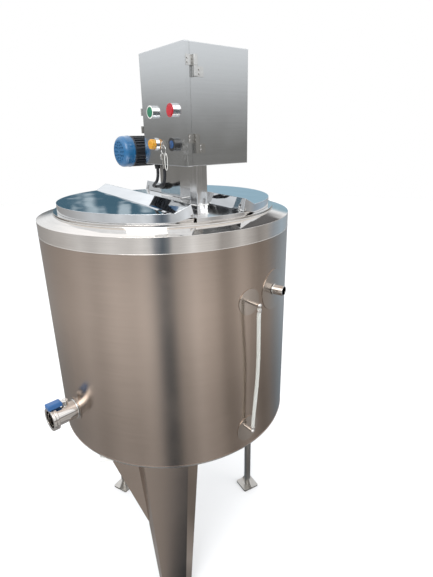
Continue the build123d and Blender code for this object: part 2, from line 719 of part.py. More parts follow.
def switch_shell(y, z, height, back, well):
    """A panel fitting's fixed part: bezel, threaded barrel, nut and contact block."""
    skin, inside = door_front, door_front + sheet
    wall = button_barrel - 2
    shell = pipe((skin - height, y, z), (skin - bezel_seat, y, z), bezel_radius, well)
    shell += pipe((skin - bezel_seat, y, z), (skin, y, z), bezel_radius, wall)
    shell += pipe((skin, y, z), (inside + back, y, z), button_barrel - 0.3, wall)
    shell += rod((inside + back - 3, y, z), (inside + back, y, z), button_barrel - 0.3)
    shell += pipe((inside, y, z), (inside + 5, y, z), button_barrel + 3, wall)
    shell += block((inside + back, inside + back + 20), (y - 10, y + 10), (z - 18, z + 18))
    return shell


def make_push_buttons(places):
    stem = button_barrel - 2 - cap_clearance
    well = cap_radius + cap_clearance
    save("button_bodies", group([switch_shell(y, z, bezel_height, 24, well) for y, z in places]))
    front = door_front - bezel_height - cap_proud
    back = door_front - bezel_seat - button_travel - 0.5
    for name, (y, z) in zip(("start_button", "stop_button"), places):
        cap = rod((front, y, z), (back, y, z), cap_radius)
        cap = fillet(cap.edges().sort_by(Axis.X)[:1], 1.5)
        save(name, cap + rod((back, y, z), (door_front + 8, y, z), stem))


def make_lamp(y, z):
    save("pilot_lamp_body", switch_shell(y, z, 5, 22, button_barrel - 2))
    lens = rod((door_front - 16, y, z), (door_front - 5, y, z), button_barrel + 1.2)
    save("pilot_lamp_lens", fillet(lens.edges().sort_by(Axis.X)[:1], 4))


def make_key_switch(y, z):
    skin = door_front
    bore = button_barrel - 2
    save("key_switch_body", switch_shell(y, z, bezel_height, 26, bore))
    barrel = rod((skin - bezel_height - 1, y, z), (skin + 20, y, z), bore - 0.3)
    blade = 4.2
    barrel -= block((skin - bezel_height - 2, skin + 12), (y - 1.3, y + 1.3), (z - blade, z + blade))
    save("key_switch_barrel", barrel)

    bow_x = skin - key_reach
    hole_x = bow_x - 4
    eye = 2.2
    key = block((bow_x + 6, skin + 8), (y - 1, y + 1), (z - blade + 0.2, z + blade - 0.2))
    key += rod((bow_x, y - 1, z), (bow_x, y + 1, z), key_bow)
    key -= rod((hole_x, y - 2, z), (hole_x, y + 2, z), eye)
    save("key", key)

    slack = eye - ring_wire - 0.05
    ring_z = z - slack - ring_radius
    ring = Pos(hole_x, y, ring_z) * Rot(0, 90, 0) * Torus(ring_radius, ring_wire)
    hang = ring_z - ring_radius + 0.28 - slack
    near, far = y + 1.4, y + 3.2
    spare = rod((hole_x, near, hang - 4.8), (hole_x, far, hang - 4.8), key_bow - 1)
    spare += block((hole_x - 3, hole_x + 3), (near, far), (hang - 32, hang - 8))
    spare -= rod((hole_x, near - 1, hang), (hole_x, far + 1, hang), eye)
    save("key_ring", group([ring, spare]))


def make_latches():
    bases = []
    face = box_y[1]
    pivot_y = face + 5
    for name, rise, swing in latches:
        z = rim + rise
        plate = block((latch_x - 4, latch_x + 20), (face, face + 1.5), (z - 11, z + 11))
        for end in (-1, 1):
            plate += block((latch_x - 4, latch_x + 4), (face, face + 8), sorted((z + end * 9, z + end * 11)))
        plate += rod((latch_x, pivot_y, z - 11), (latch_x, pivot_y, z + 11), 1.5)
        bases.append(plate)
        half = 8.6
        tip = keeper_x[0] - 1.0 - latch_x
        arm = pipe((0, 0, -half), (0, 0, half), 3.0, 1.5 + running_gap)
        arm += block((tip - 3, -2.6), (1.0, 2.6), (-half, half))
        arm += block((tip - 3, tip), (-3.0, 2.6), (-half, half))
        arm += block((tip - 5, tip), (2.6, 6), (-half, half))
        save("latch_" + name, Pos(latch_x, pivot_y, z) * Rot(0, 0, -swing) * arm)
    save("latch_bases", group(bases))


# ---- cables ----------------------------------------------------------------------------------
def bend_radii(points):
    """The largest bends that leave a straight between them."""
    radii = []
    for before, corner, after in zip(points, points[1:], points[2:]):
        turn = math.radians((corner - before).get_angle(after - corner))
        shorter = min((corner - before).length, (after - corner).length)
        radii.append(round(0.45 * shorter / math.tan(turn / 2), 2))
    return radii


def make_cables():
    glands = []
    nut = 9.0
    for name, drop, (exit_point, entry) in zip(("probe_cable", "motor_cable"), cable_drops, cable_ends):
        x, y, z = exit_point
        gland = Pos(x, y, z - 4) * extrude(RegularPolygon(nut, 6), 4, both=True)
        gland += rod((x, y, z - 14), (x, y, z - 8), nut - 2)
        gland += rod((x, y, z), (x, y, z + 8), gland_thread - 0.2)
        gland += Pos(x, y, z + sheet + 2.5) * extrude(RegularPolygon(nut, 6), 2.4, both=True)
        glands.append(gland - rod((x, y, z - 15), (x, y, z + 9), cable_radius))
        ex, ey, ez = entry
        side = Pos(ex - 3, ey, ez) * Rot(0, 90, 0) * extrude(RegularPolygon(nut, 6), 3, both=True)
        side += rod((ex - 11, ey, ez), (ex - 6, ey, ez), nut - 2)
        side += rod((ex, ey, ez), (ex + 6, ey, ez), gland_thread - 0.2)
        glands.append(side - rod((ex - 12, ey, ez), (ex + 7, ey, ez), cable_radius))
        points = [Vector(x, y, z + 8), Vector(x, y, z - drop),
                  Vector(ex - 38, ey, ez), Vector(ex + 6, ey, ez)]
        radii = bend_radii(points)
        path = FilletPolyline(*points, radius=radii)
        cable = sweep(Plane(origin=points[0], z_dir=(0, 0, -1)) * Circle(cable_radius), path=path)
        share = cable.volume / (math.pi * cable_radius**2 * path.length)
        print(name, "radii", radii, "length", round(path.length, 1), "volume share", round(share, 4))
        save(name, cable)
    save("cable_glands", group(glands))


# ---- outlet ----------------------------------------------------------------------------------
def make_outlet():
    at = lambda radius, rise=0.0: around(outlet_angle, radius, outlet_height + rise)
    end = vat_radius + outlet_length
    inner = outlet_radius - outlet_wall
    tube = pipe(at(vessel_radius), at(end), outlet_radius, inner)
    tube &= Pos(0, 0, outlet_height) * (Cylinder(end + 50, 200) - Cylinder(vessel_radius + 0.5, 200))
    stem_radius = 4.0
    stem_at = vat_radius + valve_station
    boss_top = ferrule_radius + boss_clearance
    tube += pipe(at(stem_at, inner - 0.3), at(stem_at, boss_top), 8, stem_radius + running_gap)
    tube -= rod(at(stem_at), at(stem_at, boss_top + 1), stem_radius + running_gap)
    save("outlet_tube", tube)

    ring = ferrule_thickness / 2 - 1
    bore = inner + ferrule_step
    ferrule = pipe(at(end), at(end + ring), ferrule_radius, bore)
    ferrule += pipe(at(end + ring), at(end + ring + 2), ferrule_radius - 2.5, bore)
    ferrule += pipe(at(end + ring + 2), at(end + ferrule_thickness), ferrule_radius, bore)
    save("outlet_ferrule", ferrule)

    lever_rise = boss_top + 3
    disc = rod(at(stem_at, -inner + 1.5), at(stem_at, lever_rise + 4), stem_radius)
    across = Vector(*around(outlet_angle + 90, 1, 0))
    centre = Vector(*at(stem_at))
    plate = rod(tuple(centre - across * 1.5), tuple(centre + across * 1.5), inner - 1.0)
    save("valve_disc", disc + plate)

    arm = pipe(at(stem_at, boss_top + 0.3), at(stem_at, lever_rise + 3), 9, stem_radius)
    flat = block((-6, 6), (-(end + 14), -(stem_at + 7)),
                 (outlet_height + lever_rise, outlet_height + lever_rise + 3))
    bar = turned(flat, outlet_angle)
    save("valve_lever", arm + bar)
    grip_low = outlet_height + lever_rise - 3.5
    grip = turned(block((-11, 11), (-(end + 18), -(stem_at + 11)), (grip_low, grip_low + 13)), outlet_angle)
    grip = fillet(grip.edges().sort_by(Axis.Z)[-4:], 4)
    save("lever_grip", grip - bar)


def rosette(angle, height, radius, hole):
    """A thin round plate bent to the cladding, with a hole for its pipe."""
    reach = vat_radius + 25
    skin = Pos(0, 0, height) * (Cylinder(vat_radius + sheet, 4 * radius) - Cylinder(vat_radius, 4 * radius))
    plate = skin & rod(around(angle, vat_radius - 60, height), around(angle, reach, height), radius)
    return plate - rod(around(angle, vat_radius - 60, height), around(angle, reach, height), hole)


def make_side_fittings():
    gap = 0.2
    plates = [rosette(outlet_angle, outlet_height, 34, outlet_radius + gap),
              rosette(inlet_angle, inlet_height, 54, inlet_radius + gap),
              rosette(gauge_angle, gauge_top_height, 34, gauge_radius + gap),
              rosette(gauge_angle, gauge_low_height, 38, gauge_radius + gap)]
    save("rosettes", group(plates))

    start = jacket_radius - jacket_wall
    trim = Pos(0, 0, leg_height) * Cylinder(start + 0.5, 4 * vat_height)
    mouth = around(inlet_angle, vat_radius + inlet_length, inlet_height)
    plate = around(inlet_angle, vat_radius + sheet, inlet_height)
    root = around(inlet_angle, start - 5, inlet_height)
    inlet = rod(root, plate, inlet_radius - inlet_step) + rod(plate, mouth, inlet_radius)
    save("water_inlet", inlet - rod(root, mouth, inlet_radius - inlet_wall) - trim)

    elbows = []
    for height, length in ((gauge_top_height, gauge_top_length), (gauge_low_height, gauge_low_length)):
        reach = vat_radius + length
        tip = Vector(*around(gauge_angle, reach, height))
        root = around(gauge_angle, start - 5, height)
        nipple = pipe(root, tuple(tip), gauge_radius, gauge_radius - gauge_wall)
        elbows.append((nipple - trim, tip))
    line = (elbows[1][1] - elbows[0][1]).normalized()
    inner = gauge_radius - gauge_wall
    barb = gauge_tube_radius - gauge_tube_wall - 0.1
    hoses = [elbows[0][1] + line * 7, elbows[1][1] - line * 7]
    pieces = []
    for (nipple, tip), way in zip(elbows, (1, -1)):
        toe = tip + line * way * 22
        shank = rod(tuple(tip), tuple(toe), barb)
        ball = Pos(*tip) * Sphere(gauge_radius + 0.8)
        piece = nipple + ball + shank
        piece -= rod(tuple(tip), tuple(tip + line * way * 30), barb - 1.2)
        piece -= rod(around(gauge_angle, start - 5, tip.Z), tuple(tip), inner)
        pieces.append(piece)
    for hose, way in zip(hoses, (1, -1)):
        low, high = hose + line * way * 3, hose + line * way * 8
        pieces.append(pipe(tuple(low), tuple(high), gauge_tube_radius + 1.2, gauge_tube_radius + 0.05))
    save("gauge_fittings", group(pieces))

    bow = Vector(*around(gauge_angle + 90, gauge_tube_bow, 0))
    straight = line * gauge_tube_straight
    points = [hoses[0], hoses[0] + straight, (hoses[0] + hoses[1]) / 2 + bow, hoses[1] - straight, hoses[1]]
    route = FilletPolyline(*points, radius=bend_radii(points))
    start_plane = Plane(origin=points[0], z_dir=line)
    tube = sweep(start_plane * Circle(gauge_tube_radius), path=route)
    tube -= sweep(start_plane * Circle(gauge_tube_radius - gauge_tube_wall), path=route)
    save("gauge_tube", tube)


make_vat()
make_drain()
make_front_leg()
make_rear_legs()
make_feet()
make_bridge()
make_lids()
make_stool()
make_gearbox()
make_motor()
make_agitator()
make_post()
make_box()
make_door()
make_hinges()
make_push_buttons(button_places()[:2])
make_lamp(*button_places()[2])
make_key_switch(*button_places()[3])
make_latches()
make_cables()
make_outlet()
make_side_fittings()
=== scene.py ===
import json
import math

import bmesh
import bpy
from mathutils import Matrix, Vector


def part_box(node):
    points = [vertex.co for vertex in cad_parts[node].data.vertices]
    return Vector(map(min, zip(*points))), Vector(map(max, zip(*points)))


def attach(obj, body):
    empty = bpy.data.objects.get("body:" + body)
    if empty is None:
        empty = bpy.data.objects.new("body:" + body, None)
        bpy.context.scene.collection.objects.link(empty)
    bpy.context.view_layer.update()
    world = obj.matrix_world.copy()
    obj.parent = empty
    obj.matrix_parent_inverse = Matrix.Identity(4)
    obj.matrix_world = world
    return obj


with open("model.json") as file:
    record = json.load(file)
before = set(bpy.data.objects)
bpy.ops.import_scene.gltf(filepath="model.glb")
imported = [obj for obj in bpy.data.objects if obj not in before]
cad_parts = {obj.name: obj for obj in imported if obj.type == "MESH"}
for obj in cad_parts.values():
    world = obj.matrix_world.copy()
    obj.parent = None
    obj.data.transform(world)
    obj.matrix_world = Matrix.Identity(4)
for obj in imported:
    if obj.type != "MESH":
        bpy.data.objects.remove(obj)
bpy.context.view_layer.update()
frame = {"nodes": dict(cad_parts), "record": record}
NODES = frame["nodes"]

# Main sizes, in metres, read from the frame.
SHOULDER_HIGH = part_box("top_shoulder")[1]
CLADDING_LOW, CLADDING_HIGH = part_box("outer_cladding")
VAT_RADIUS = SHOULDER_HIGH.y
SEAM_Z = CLADDING_HIGH.z


# ---- node helpers ------------------------------------------------------------------------------
class Tree:
    """A material's node tree with short calls for the nodes used here."""

    def __init__(self, name):
        self.material = bpy.data.materials.new(name)
        self.material.use_nodes = True
        self.tree = self.material.node_tree
        self.shader = self.tree.nodes["Principled BSDF"]

    def node(self, kind, **settings):
        made = self.tree.nodes.new(kind)
        for key, value in settings.items():
            setattr(made, key, value)
        return made

    def link(self, source, target):
        self.tree.links.new(source, target)

    def put(self, socket, value):
        """A number, colour or another node's output on a socket."""
        if isinstance(value, bpy.types.NodeSocket):
            self.link(value, socket)
        elif isinstance(value, (tuple, list)) and socket.type == "RGBA" and len(value) == 3:
            socket.default_value = (*value, 1.0)
        else:
            socket.default_value = value

    def shade(self, **values):
        for key, value in values.items():
            self.put(self.shader.inputs[key.replace("_", " ")], value)

    def math(self, operation, first, second=0.0, third=0.0, clamp=False):
        made = self.node("ShaderNodeMath", operation=operation, use_clamp=clamp)
        for socket, value in zip(made.inputs, (first, second, third)):
            self.put(socket, value)
        return made.outputs[0]

    def spread(self, value, low, high, to_low=0.0, to_high=1.0):
        made = self.node("ShaderNodeMapRange", interpolation_type="SMOOTHSTEP")
        for socket, number in zip(made.inputs, (value, low, high, to_low, to_high)):
            self.put(socket, number)
        return made.outputs[0]

    def mix(self, share, first, second):
        made = self.node("ShaderNodeMix", data_type="RGBA")
        self.put(made.inputs[0], share)
        self.put(made.inputs[6], first)
        self.put(made.inputs[7], second)
        return made.outputs[2]

    def place(self, scale=(1, 1, 1)):
        """Object coordinates in metres, scaled."""
        where = self.node("ShaderNodeTexCoord").outputs["Object"]
        mapping = self.node("ShaderNodeMapping")
        mapping.inputs["Scale"].default_value = scale
        self.link(where, mapping.inputs["Vector"])
        return mapping.outputs[0]

    def round_place(self, scale):
        """(angle round the vat, height) scaled, for a grain that follows the cladding."""
        split = self.node("ShaderNodeSeparateXYZ")
        self.link(self.node("ShaderNodeTexCoord").outputs["Object"], split.inputs[0])
        angle = self.math("ARCTAN2", split.outputs[0], split.outputs[1])
        joined = self.node("ShaderNodeCombineXYZ")
        self.put(joined.inputs[0], self.math("MULTIPLY", angle, scale[0]))
        self.put(joined.inputs[1], self.math("MULTIPLY", split.outputs[2], scale[1]))
        return joined.outputs[0]

    def noise(self, place, scale=1.0, detail=3.0, roughness=0.5):
        made = self.node("ShaderNodeTexNoise")
        self.link(place, made.inputs["Vector"])
        made.inputs["Scale"].default_value = scale
        made.inputs["Detail"].default_value = detail
        made.inputs["Roughness"].default_value = roughness
        return made.outputs[0]

    def bump(self, height, distance, below=None):
        made = self.node("ShaderNodeBump")
        made.inputs["Distance"].default_value = distance
        self.put(made.inputs["Height"], height)
        if below is not None:
            self.link(below, made.inputs["Normal"])
        return made.outputs[0]


def sheet_metal(name, colour, rough, grain, waves=0.0, wave_scale=6.0, smudge=0.06, round_grain=False,
                grain_depth=0.00002, contrast=0.16, edge=0.0):
    """Metal sheet: fine grain, soft handling smudges, the waves of thin sheet and softened edges."""
    tree = Tree(name)
    place = tree.round_place(grain) if round_grain else tree.place(grain)
    lines = tree.noise(place, 1.0, 5.0, 0.65)
    cloud = tree.noise(tree.place(), 7.0, 4.0, 0.6)
    patch = tree.noise(tree.place(), 2.2, 2.0, 0.5)
    tint = tree.spread(tree.math("ADD", lines, tree.math("MULTIPLY", cloud, 0.5)), 0.45, 1.05)
    darker = tuple(part * (1 - contrast) for part in colour)
    tree.shade(Base_Color=tree.mix(tint, darker, colour), Metallic=1.0)
    dull = tree.math("MULTIPLY", tree.spread(cloud, 0.42, 0.75), smudge)
    vary = tree.math("MULTIPLY_ADD", lines, rough * 0.5, rough * 0.72)
    tree.shade(Roughness=tree.math("ADD", vary, dull, clamp=True))
    rounded = None
    if edge:
        softened = tree.node("ShaderNodeBevel", samples=6)
        softened.inputs["Radius"].default_value = edge
        rounded = softened.outputs[0]
    normal = tree.bump(lines, grain_depth, rounded)
    if waves:
        normal = tree.bump(tree.noise(tree.place(), wave_scale, 1.5, 0.4), waves, normal)
        normal = tree.bump(patch, waves * 2.0, normal)
    tree.shade(Normal=normal)
    return tree.material


def paint(name, colour, rough=0.35, grain=260.0, depth=0.00006, coat=0.0, wear=0.5):
    """Paint or moulded plastic: fine orange peel, slight fading and dust."""
    tree = Tree(name)
    fine = tree.noise(tree.place(), grain, 2.0)
    cloud = tree.noise(tree.place(), 14.0, 5.0, 0.6)
    faded = tuple(min(1.0, part * 0.75 + 0.035 * wear + part * 0.2) for part in colour)
    tree.shade(Base_Color=tree.mix(tree.spread(cloud, 0.35, 0.75), colour, faded))
    tree.shade(Roughness=tree.math("MULTIPLY_ADD", cloud, 0.22, rough - 0.08))
    tree.shade(Normal=tree.bump(fine, depth))
    if coat:
        tree.shade(Coat_Weight=coat, Coat_Roughness=0.08)
    return tree.material


def cast_metal(name, colour, rough=0.45):
    tree = Tree(name)
    pits = tree.noise(tree.place(), 420.0, 3.0, 0.7)
    cloud = tree.noise(tree.place(), 20.0, 4.0, 0.6)
    darker = tuple(part * 0.75 for part in colour)
    tree.shade(Base_Color=tree.mix(cloud, darker, colour), Metallic=1.0)
    tree.shade(Roughness=tree.math("MULTIPLY_ADD", cloud, 0.25, rough - 0.1), Normal=tree.bump(pits, 0.0003))
    return tree.material


def clear_tube(name):
    """Milky PVC hose, slightly yellowed, with extrusion lines along it."""
    tree = Tree(name)
    lines = tree.noise(tree.place((900.0, 900.0, 6.0)), 1.0, 2.0)
    cloud = tree.noise(tree.place(), 18.0, 3.0)
    tree.shade(Base_Color=tree.mix(cloud, (0.80, 0.80, 0.74), (0.92, 0.93, 0.90)))
    tree.shade(Roughness=tree.math("MULTIPLY_ADD", lines, 0.15, 0.12), Normal=tree.bump(lines, 0.00008))
    tree.shade(Transmission_Weight=0.55, IOR=1.45)
    return tree.material


def lens(name, colour):
    """A ribbed lamp lens."""
    tree = Tree(name)
    rings = tree.node("ShaderNodeTexWave", wave_type="RINGS", rings_direction="X")
    rings.inputs["Scale"].default_value = 180.0
    tree.link(tree.place(), rings.inputs["Vector"])
    cloud = tree.noise(tree.place(), 60.0, 2.0)
    tree.shade(Base_Color=tree.mix(cloud, tuple(part * 0.85 for part in colour), colour))
    tree.shade(Roughness=tree.math("MULTIPLY_ADD", cloud, 0.1, 0.12))
    tree.shade(Normal=tree.bump(rings.outputs[0], 0.0001))
    tree.shade(Subsurface_Weight=0.3, Subsurface_Scale=0.004)
    return tree.material


def foam(name, colour):
    tree = Tree(name)
    cells = tree.node("ShaderNodeTexVoronoi")
    cells.inputs["Scale"].default_value = 500.0
    tree.link(tree.place(), cells.inputs["Vector"])
    cloud = tree.noise(tree.place(), 9.0, 4.0)
    tree.shade(Base_Color=tree.mix(cloud, tuple(part * 0.8 for part in colour), colour), Roughness=0.9)
    tree.shade(Normal=tree.bump(cells.outputs[0], 0.0008))
    return tree.material


# ---- materials ---------------------------------------------------------------------------------
MATERIALS = {
    "satin_steel": sheet_metal("satin_steel", (0.47, 0.385, 0.325), 0.21, (1.6, 900.0, 1.0), waves=0.00010,
                               wave_scale=4.0, smudge=0.05, round_grain=True),
    "base_steel": sheet_metal("base_steel", (0.55, 0.53, 0.51), 0.3, (40.0, 40.0, 40.0)),
    "vessel_steel": sheet_metal("vessel_steel", (0.70, 0.69, 0.67), 0.16, (2.0, 700.0, 1.0), waves=0.0003,
                                round_grain=True),
    "polished_steel": sheet_metal("polished_steel", (0.75, 0.71, 0.67), 0.07, (3.0, 500.0, 1.0), waves=0.0016,
                                  wave_scale=9.0, smudge=0.05, round_grain=True, edge=0.0015),
    "lid_steel": sheet_metal("lid_steel", (0.76, 0.78, 0.80), 0.04, (30.0, 4.0, 30.0), waves=0.0012,
                             wave_scale=7.0, smudge=0.03, edge=0.0015),
    "bridge_steel": sheet_metal("bridge_steel", (0.78, 0.77, 0.76), 0.12, (300.0, 300.0, 4.0), waves=0.0008,
                                wave_scale=12.0, edge=0.0015),
    "box_steel": sheet_metal("box_steel", (0.66, 0.67, 0.675), 0.15, (6.0, 6.0, 900.0), waves=0.0002,
                             wave_scale=5.0, smudge=0.05, grain_depth=0.000006, contrast=0.06,
                             edge=0.0022),
    "foot_steel": sheet_metal("foot_steel", (0.52, 0.50, 0.47), 0.32, (80.0, 80.0, 80.0), smudge=0.2),
    "small_steel": sheet_metal("small_steel", (0.74, 0.73, 0.71), 0.14, (200.0, 200.0, 200.0)),
    "bronze": cast_metal("bronze", (0.70, 0.46, 0.20), 0.3),
    "plate_zinc": sheet_metal("plate_zinc", (0.66, 0.67, 0.66), 0.3, (30.0, 30.0, 30.0)),
    "gearbox_alloy": cast_metal("gearbox_alloy", (0.50, 0.51, 0.52)),
    "motor_black": paint("motor_black", (0.028, 0.032, 0.040), 0.38, coat=0.2),
    "cowl_blue": paint("cowl_blue", (0.012, 0.12, 0.28), 0.28, coat=0.5),
    "black_plastic": paint("black_plastic", (0.015, 0.015, 0.016), 0.5),
    "cable_black": paint("cable_black", (0.012, 0.013, 0.018), 0.45, grain=500.0),
    "white_plastic": paint("white_plastic", (0.80, 0.79, 0.75), 0.35, coat=0.2),
    "rosette_steel": sheet_metal("rosette_steel", (0.50, 0.44, 0.39), 0.2, (1.6, 700.0, 1.0), waves=0.0004,
                                 round_grain=True),
    "key_blue": paint("key_blue", (0.01, 0.07, 0.22), 0.3, coat=0.4),
    "bezel_black": paint("bezel_black", (0.012, 0.012, 0.013), 0.3, coat=0.3),
    "bezel_chrome": sheet_metal("bezel_chrome", (0.72, 0.72, 0.72), 0.12, (300.0, 300.0, 300.0)),
    "green_plastic": paint("green_plastic", (0.0, 0.16, 0.075), 0.25, coat=0.4),
    "red_plastic": paint("red_plastic", (0.45, 0.008, 0.02), 0.28, coat=0.15),
    "amber_lens": lens("amber_lens", (0.66, 0.31, 0.02)),
    "gasket_rubber": paint("gasket_rubber", (0.02, 0.02, 0.02), 0.7),
    "blue_grip": paint("blue_grip", (0.008, 0.10, 0.30), 0.3, coat=0.4),
    "clear_tube": clear_tube("clear_tube"),
    "foam": foam("foam", (0.85, 0.76, 0.50)),
}


def dress_nodes():
    """Every CAD node gets its slot's material and smooth faces between its sharp edges."""
    slot_of = {part["node"]: part["material_slot"] for part in frame["record"]["subparts"]}
    for name, node in NODES.items():
        node.data.materials.clear()
        node.data.materials.append(MATERIALS[slot_of[name]])
        for polygon in node.data.polygons:
            polygon.use_smooth = True
        node.data.set_sharp_from_angle(angle=math.radians(32))


# ---- stage -------------------------------------------------------------------------------------
CAMERA_AT = Vector((-0.6385, -1.0428, 1.372))
LOOK = Vector((0.5808, 0.7375, -0.3445)).normalized()
ROLL = math.radians(-0.96)
LENS = 26.0


def make_camera():
    flat = LOOK.cross(Vector((0, 0, 1))).normalized()
    upright = flat.cross(LOOK)
    right = flat * math.cos(ROLL) + upright * math.sin(ROLL)
    up = upright * math.cos(ROLL) - flat * math.sin(ROLL)
    data = bpy.data.cameras.new("camera")
    data.lens = LENS
    data.sensor_width = 36.0
    data.clip_start = 0.02
    camera = bpy.data.objects.new("camera", data)
    bpy.context.scene.collection.objects.link(camera)
    turn = Matrix((right, up, -LOOK)).transposed().to_4x4()
    camera.matrix_world = Matrix.Translation(CAMERA_AT) @ turn
    bpy.context.scene.camera = camera


def make_floor():
    mesh = bpy.data.meshes.new("floor")
    build = bmesh.new()
    bmesh.ops.create_circle(build, cap_ends=True, segments=96, radius=9.0)
    build.to_mesh(mesh)
    build.free()
    floor = bpy.data.objects.new("floor", mesh)
    bpy.context.scene.collection.objects.link(floor)
    tree = Tree("floor")
    cloud = tree.noise(tree.place(), 3.0, 4.0)
    tree.shade(Base_Color=tree.mix(cloud, (0.87, 0.87, 0.87), (0.90, 0.90, 0.90)), Roughness=0.8)
    mesh.materials.append(tree.material)


# What the upright steel mirrors, round the vat from -Y towards +X: degrees and shade.
SURROUNDINGS = ((-180, (0.30, 0.28, 0.26)), (-150, (0.46, 0.44, 0.42)), (-125, (0.62, 0.60, 0.58)),
                (-108, (0.76, 0.75, 0.74)), (-95, (0.66, 0.65, 0.64)), (-78, (0.86, 0.85, 0.84)),
                (-62, (0.76, 0.75, 0.74)), (-53, (0.90, 0.89, 0.88)), (-46, (0.74, 0.74, 0.74)),
                (-41, (0.26, 0.28, 0.31)), (-35, (0.07, 0.10, 0.13)), (-30, (0.20, 0.22, 0.24)),
                (-26, (0.60, 0.59, 0.58)), (-19, (0.70, 0.69, 0.68)), (-11, (0.98, 0.97, 0.96)),
                (-4, (0.84, 0.82, 0.80)), (6, (0.72, 0.70, 0.68)),
                (14, (0.42, 0.40, 0.38)), (22, (0.46, 0.44, 0.42)), (33, (0.74, 0.72, 0.70)),
                (44, (0.50, 0.48, 0.46)), (54, (0.32, 0.30, 0.28)), (66, (0.42, 0.40, 0.38)),
                (76, (0.34, 0.38, 0.42)), (95, (0.40, 0.50, 0.58)), (130, (0.34, 0.33, 0.32)))


def make_reflector():
    """A disc just over the floor that only reflections see, shaded in sectors as a room is, with painted
    shade darkening it towards the vat.
    """
    mesh = bpy.data.meshes.new("reflector")
    build = bmesh.new()
    bmesh.ops.create_circle(build, cap_ends=True, segments=96, radius=9.0)
    build.to_mesh(mesh)
    build.free()
    disc = bpy.data.objects.new("reflector", mesh)
    bpy.context.scene.collection.objects.link(disc)
    disc.location.z = 0.0012
    disc.visible_camera = False
    disc.visible_shadow = False
    disc.visible_diffuse = False
    tree = Tree("reflector")
    split = tree.node("ShaderNodeSeparateXYZ")
    tree.link(tree.place(), split.inputs[0])
    angle = tree.math("ARCTAN2", split.outputs[0], tree.math("MULTIPLY", split.outputs[1], -1.0))
    ramp = tree.node("ShaderNodeValToRGB")
    tree.put(ramp.inputs[0], tree.math("MULTIPLY_ADD", angle, 0.5 / math.pi, 0.5))
    stops = ramp.color_ramp.elements
    stops.remove(stops[1])
    stops[0].position, stops[0].color = 0.0, (*SURROUNDINGS[0][1], 1.0)
    for degrees, shade in SURROUNDINGS[1:]:
        stop = stops.new((degrees + 180) / 360)
        stop.color = (*shade, 1.0)
    radius = tree.node("ShaderNodeVectorMath", operation="LENGTH")
    tree.link(tree.place(), radius.inputs[0])
    # Painted shade: the disc grows darker towards the vat, standing in for the vat's own shadow on the floor
    # as the steel mirrors it.
    painted_shade_near_vat = tree.spread(radius.outputs["Value"], 0.9, 2.8, 0.38, 0.74)
    tree.shade(Base_Color=tree.mix(painted_shade_near_vat, (0.0, 0.0, 0.0), ramp.outputs[0]), Roughness=0.9)
    mesh.materials.append(tree.material)


def make_world():
    """A studio dome for light and reflections: white above, grey low walls, a dark patch high up and
    two blue ones low down. The camera sees plain white."""
    world = bpy.data.worlds.new("world")
    bpy.context.scene.world = world
    world.use_nodes = True
    nodes, links = world.node_tree.nodes, world.node_tree.links
    background = nodes["Background"]

    def put(socket, value):
        if isinstance(value, bpy.types.NodeSocket):
            links.new(value, socket)
        else:
            socket.default_value = value

    def rise(value, low, high):
        made = nodes.new("ShaderNodeMapRange")
        made.interpolation_type = "SMOOTHSTEP"
        for socket, number in zip(made.inputs, (value, low, high, 0.0, 1.0)):
            put(socket, number)
        return made.outputs[0]

    def mix(share, first, second):
        made = nodes.new("ShaderNodeMix")
        made.data_type = "RGBA"
        for socket, value in ((made.inputs[0], share), (made.inputs[6], first), (made.inputs[7], second)):
            put(socket, value)
        return made.outputs[2]

    def times(first, second):
        made = nodes.new("ShaderNodeMath")
        made.operation = "MULTIPLY"
        put(made.inputs[0], first)
        put(made.inputs[1], second)
        return made.outputs[0]

    def towards(direction):
        made = nodes.new("ShaderNodeVectorMath")
        made.operation = "DOT_PRODUCT"
        links.new(ray, made.inputs[0])
        made.inputs[1].default_value = Vector(direction).normalized()
        return made.outputs["Value"]

    ray = nodes.new("ShaderNodeTexCoord").outputs["Generated"]
    height = towards((0, 0, 1))
    sky = mix(rise(height, 0.25, 0.55), (1.0, 1.03, 1.06, 1), (1.38, 1.40, 1.43, 1))
    wall = (0.23, 0.225, 0.215, 1)
    dome = mix(rise(height, -0.02, 0.20), wall, sky)
    shade = rise(towards((0.68, 0.52, 0.50)), 0.965, 0.985)
    dome = mix(shade, dome, (0.16, 0.16, 0.165, 1))
    clouds = nodes.new("ShaderNodeTexNoise")
    clouds.inputs["Scale"].default_value = 16.0
    links.new(ray, clouds.inputs["Vector"])
    blue = mix(rise(clouds.outputs[0], 0.52, 0.66), (0.07, 0.145, 0.20, 1), (0.45, 0.55, 0.61, 1))
    behind = times(rise(towards((0.42, 0.90, 0.10)), 0.972, 0.988), rise(height, 0.24, 0.16))
    dome = mix(behind, dome, blue)
    teal = times(rise(towards((0.70, 0.71, 0.12)), 0.975, 0.990), rise(height, 0.24, 0.16))
    dome = mix(teal, dome, (0.34, 0.50, 0.60, 1))
    seen = nodes.new("ShaderNodeLightPath").outputs["Is Camera Ray"]
    links.new(mix(seen, dome, (1.0, 1.0, 1.0, 1)), background.inputs["Color"])
    background.inputs["Strength"].default_value = 1.0


def area_light(name, at, look_at, size, power, colour=(1, 1, 1)):
    data = bpy.data.lights.new(name, "AREA")
    data.shape = "RECTANGLE"
    data.size, data.size_y = size
    data.energy = power
    data.color = colour
    light = bpy.data.objects.new(name, data)
    bpy.context.scene.collection.objects.link(light)
    at, look_at = Vector(at), Vector(look_at)
    light.rotation_euler = (look_at - at).to_track_quat("-Z", "Y").to_euler()
    light.location = at
    return light


def make_stage():
    bpy.context.scene.view_settings.view_transform = "Standard"
    make_camera()
    make_floor()
    make_reflector()
    make_world()
    area_light("key", (-2.2, -1.6, 3.2), (0, 0, 1.0), (2.2, 2.2), 55)
    fill = area_light("fill", (2.0, -2.4, 2.4), (0, 0, 0.9), (1.6, 2.4), 22, (1.0, 0.97, 0.94))
    fill.visible_glossy = False


